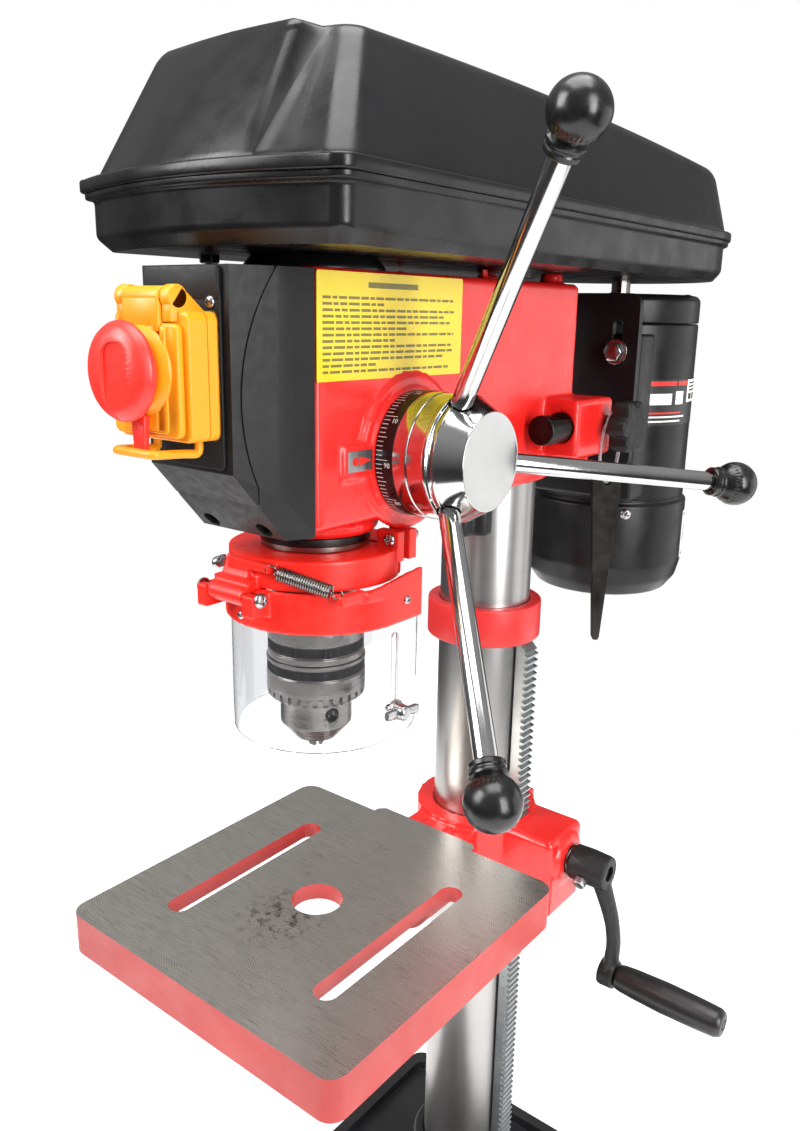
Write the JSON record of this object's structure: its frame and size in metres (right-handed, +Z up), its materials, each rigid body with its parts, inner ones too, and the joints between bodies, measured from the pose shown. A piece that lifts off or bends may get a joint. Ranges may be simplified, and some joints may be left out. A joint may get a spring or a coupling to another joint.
{
  "type": "bench drill press",
  "caption": "Bench drill press: belt-driven head with three-spoke feed handle, keyed chuck and flip-up guard, tilting table raised by rack and crank on a round column.",
  "frame": {"origin": "on the column's axis, at the floor the base stands on", "axes": "+Z up along the column; +X to the machine's right, the feed handle's side; +Y to the back, the motor's side"},
  "size_m": [0.295, 0.532, 0.807],
  "materials": {
    "black_paint": "semi-gloss black enamel",
    "crank_casting": "rough black painted casting",
    "red_paint": "textured bright red enamel on cast iron",
    "table_casting": "ground top with red enamelled sides",
    "column_steel": "turned and brushed",
    "bright_steel": "machined",
    "zinc_steel": "zinc plated",
    "dark_steel": "blackened",
    "chrome_steel": "polished",
    "phenolic": "glossy black phenolic",
    "black_plastic": "fine grained",
    "yellow_plastic": "amber yellow",
    "red_plastic": "bright red",
    "green_plastic": "green",
    "pulley_alloy": "turned die casting",
    "belt_rubber": "V-belt",
    "clear_plastic": "clear polycarbonate"
  },
  "bodies": {
    "frame": {"base": "black_paint", "column_flange": "black_paint", "column": "column_steel", "rack_collar": "red_paint", "head_casting": "red_paint", "front_cover": "black_plastic", "switch_plate": "black_plastic", "switch_box": "yellow_plastic", "belt_pan": "black_paint", "return_spring_housing": "black_paint", "front_belt": "belt_rubber", "rear_belt": "belt_rubber"},
    "rack": {"rack": "zinc_steel"},
    "lift": {"table_bracket": "red_paint"},
    "lift_gear": {"lift_gear": "bright_steel"},
    "crank": {"crank_shaft": "bright_steel", "crank_arm": "crank_casting"},
    "crank_grip": {"crank_grip": "black_plastic"},
    "lock_lever": {"table_lock_lever": "bright_steel"},
    "table": {"table": "table_casting"},
    "quill": {"quill": "bright_steel", "guard_collar": "red_plastic", "guard_spring": "zinc_steel"},
    "spindle": {"spindle": "bright_steel", "chuck_body": "bright_steel"},
    "chuck_sleeve": {"chuck_sleeve": "bright_steel"},
    "jaw_1": {"jaw_1": "dark_steel"},
    "jaw_2": {"jaw_2": "dark_steel"},
    "jaw_3": {"jaw_3": "dark_steel"},
    "guard": {"guard_band": "red_plastic"},
    "shield": {"shield": "clear_plastic"},
    "wing_nut": {"wing_nut": "zinc_steel"},
    "feed": {"feed_shaft": "bright_steel", "feed_hub": "chrome_steel", "handle_rod_1": "chrome_steel", "handle_rod_2": "chrome_steel", "handle_rod_3": "chrome_steel", "handle_knob_1": "phenolic", "handle_knob_2": "phenolic", "handle_knob_3": "phenolic"},
    "dial": {"dial_ring": "black_paint"},
    "switch_lid": {"switch_lid": "yellow_plastic"},
    "stop_button": {"stop_button": "red_plastic"},
    "start_button": {"start_button": "green_plastic"},
    "off_button": {"off_button": "red_plastic"},
    "belt_lid": {"belt_lid": "black_paint"},
    "spindle_pulley": {"spindle_pulley": "pulley_alloy"},
    "idler_arm": {"idler_arm": "dark_steel"},
    "idler_pulley": {"idler_pulley": "pulley_alloy"},
    "motor": {"motor_body": "black_paint", "motor_cap": "black_paint", "terminal_box": "black_plastic", "motor_plate": "black_paint", "slide_bar_left": "dark_steel", "slide_bar_right": "dark_steel"},
    "motor_pulley": {"motor_pulley": "pulley_alloy", "motor_shaft": "bright_steel"},
    "tension_knob": {"tension_knob": "black_plastic"},
    "drift_key": {"drift_key": "dark_steel"},
    "depth_lock_knob": {"depth_lock_knob": "black_plastic"}
  },
  "joints": [
    {"name": "rack_swing", "type": "hinge", "parent": "frame", "child": "rack", "pos_m": [0, 0, 0.0703], "axis": [0, 0, 1], "range_deg": [-60, 60]},
    {"name": "table_lift", "type": "slide", "parent": "rack", "child": "lift", "axis": [0, 0, -1], "range_m": [-0.03, 0.2]},
    {"name": "lift_gear_turn", "type": "hinge", "parent": "lift", "child": "lift_gear", "pos_m": [0.0493, 0, 0.318], "axis": [0, 1, 0], "range_deg": [-180, 1110]},
    {"name": "crank_turn", "type": "hinge", "parent": "lift", "child": "crank", "pos_m": [0.078, 0, 0.34], "axis": [1, 0, 0], "range_deg": [-2400, 15400]},
    {"name": "crank_grip_spin", "type": "hinge", "parent": "crank", "child": "crank_grip", "pos_m": [0.11, 0, 0.268], "axis": [1, 0, 0], "continuous": true},
    {"name": "table_lock", "type": "hinge", "parent": "lift", "child": "lock_lever", "pos_m": [-0.015, 0.048, 0.33], "axis": [1, 0, 0], "range_deg": [-20, 20]},
    {"name": "table_tilt", "type": "hinge", "parent": "lift", "child": "table", "pos_m": [0, -0.058, 0.332], "axis": [0, 1, 0], "range_deg": [-45, 45]},
    {"name": "quill_feed", "type": "slide", "parent": "frame", "child": "quill", "axis": [0, 0, -1], "range_m": [0, 0.06], "stiffness_N_per_m": 150, "springref_m": -0.25},
    {"name": "feed_turn", "type": "hinge", "parent": "frame", "child": "feed", "pos_m": [0, -0.136, 0.6245], "axis": [1, 0, 0], "range_deg": [-340, 340]},
    {"name": "dial_turn", "type": "hinge", "parent": "frame", "child": "dial", "pos_m": [0.05, -0.136, 0.6245], "axis": [1, 0, 0], "range_deg": [-170, 170]},
    {"name": "spindle_spin", "type": "hinge", "parent": "quill", "child": "spindle", "pos_m": [0, -0.166, 0.538], "axis": [0, 0, 1], "continuous": true},
    {"name": "sleeve_turn", "type": "hinge", "parent": "spindle", "child": "chuck_sleeve", "pos_m": [0, -0.166, 0.5], "axis": [0, 0, 1], "range_deg": [0, 900]},
    {"name": "jaw_1_slide", "type": "slide", "parent": "spindle", "child": "jaw_1", "axis": [0.4066, 0.2347, 0.8829], "range_m": [0, 0.0125]},
    {"name": "jaw_2_slide", "type": "slide", "parent": "spindle", "child": "jaw_2", "axis": [-0.4066, 0.2347, 0.8829], "range_m": [0, 0.0125]},
    {"name": "jaw_3_slide", "type": "slide", "parent": "spindle", "child": "jaw_3", "axis": [0, -0.4695, 0.8829], "range_m": [0, 0.0125]},
    {"name": "guard_flip", "type": "hinge", "parent": "quill", "child": "guard", "pos_m": [0, -0.2177, 0.558], "axis": [-1, 0, 0], "range_deg": [0, 85]},
    {"name": "shield_height", "type": "slide", "parent": "guard", "child": "shield", "axis": [0, 0, -1], "range_m": [0, 0.025]},
    {"name": "wing_nut_turn", "type": "hinge", "parent": "shield", "child": "wing_nut", "pos_m": [0.0476, -0.1565, 0.4914], "axis": [1, 0, 0], "continuous": true},
    {"name": "switch_lid_hinge", "type": "hinge", "parent": "frame", "child": "switch_lid", "pos_m": [0, -0.2665, 0.698], "axis": [-1, 0, 0], "range_deg": [0, 110]},
    {"name": "stop_press", "type": "slide", "parent": "switch_lid", "child": "stop_button", "axis": [0, 1, 0], "range_m": [0, 0.0012], "stiffness_N_per_m": 400},
    {"name": "start_press", "type": "slide", "parent": "frame", "child": "start_button", "axis": [0, 1, 0], "range_m": [0, 0.003], "stiffness_N_per_m": 300},
    {"name": "off_press", "type": "slide", "parent": "frame", "child": "off_button", "axis": [0, 1, 0], "range_m": [0, 0.003], "stiffness_N_per_m": 300},
    {"name": "belt_lid_hinge", "type": "hinge", "parent": "frame", "child": "belt_lid", "pos_m": [-0.0857, 0, 0.74485], "axis": [0, -1, 0], "range_deg": [0, 100]},
    {"name": "spindle_pulley_spin", "type": "hinge", "parent": "frame", "child": "spindle_pulley", "pos_m": [0, -0.166, 0.728], "axis": [0, 0, 1], "continuous": true},
    {"name": "idler_swing", "type": "hinge", "parent": "frame", "child": "idler_arm", "pos_m": [0.034, -0.024, 0.719], "axis": [0, 0, 1], "range_deg": [-4, 4], "deforming": ["front_belt"]},
    {"name": "idler_pulley_spin", "type": "hinge", "parent": "idler_arm", "child": "idler_pulley", "pos_m": [0, 0.01, 0.728], "axis": [0, 0, 1], "continuous": true},
    {"name": "motor_slide", "type": "slide", "parent": "frame", "child": "motor", "axis": [0, 1, 0], "range_m": [-0.012, 0.004], "deforming": ["rear_belt"]},
    {"name": "motor_pulley_spin", "type": "hinge", "parent": "motor", "child": "motor_pulley", "pos_m": [0, 0.172, 0.704], "axis": [0, 0, 1], "continuous": true},
    {"name": "tension_knob_turn", "type": "hinge", "parent": "frame", "child": "tension_knob", "pos_m": [0.0623, 0.038, 0.627], "axis": [1, 0, 0], "continuous": true},
    {"name": "drift_key_swing", "type": "hinge", "parent": "frame", "child": "drift_key", "pos_m": [0.0625, 0.038, 0.627], "axis": [1, 0, 0], "range_deg": [-25, 25]},
    {"name": "depth_lock_turn", "type": "hinge", "parent": "frame", "child": "depth_lock_knob", "pos_m": [0.024, -0.062, 0.584], "axis": [0, 0, 1], "continuous": true}
  ],
  "couplings": [
    {"joint": "feed_turn", "follows": "quill_feed", "rad_per_m": 95.238},
    {"joint": "lift_gear_turn", "follows": "table_lift", "rad_per_m": 95.238},
    {"joint": "crank_turn", "follows": "table_lift", "rad_per_m": 1333.3},
    {"joint": "spindle_pulley_spin", "follows": "spindle_spin", "ratio": 1},
    {"joint": "idler_pulley_spin", "follows": "spindle_spin", "ratio": 1.1765},
    {"joint": "motor_pulley_spin", "follows": "spindle_spin", "ratio": 2.4706},
    {"joint": "jaw_1_slide", "follows": "sleeve_turn", "m_per_rad": 0.00077668},
    {"joint": "jaw_2_slide", "follows": "sleeve_turn", "m_per_rad": 0.00077668},
    {"joint": "jaw_3_slide", "follows": "sleeve_turn", "m_per_rad": 0.00077668}
  ]
}
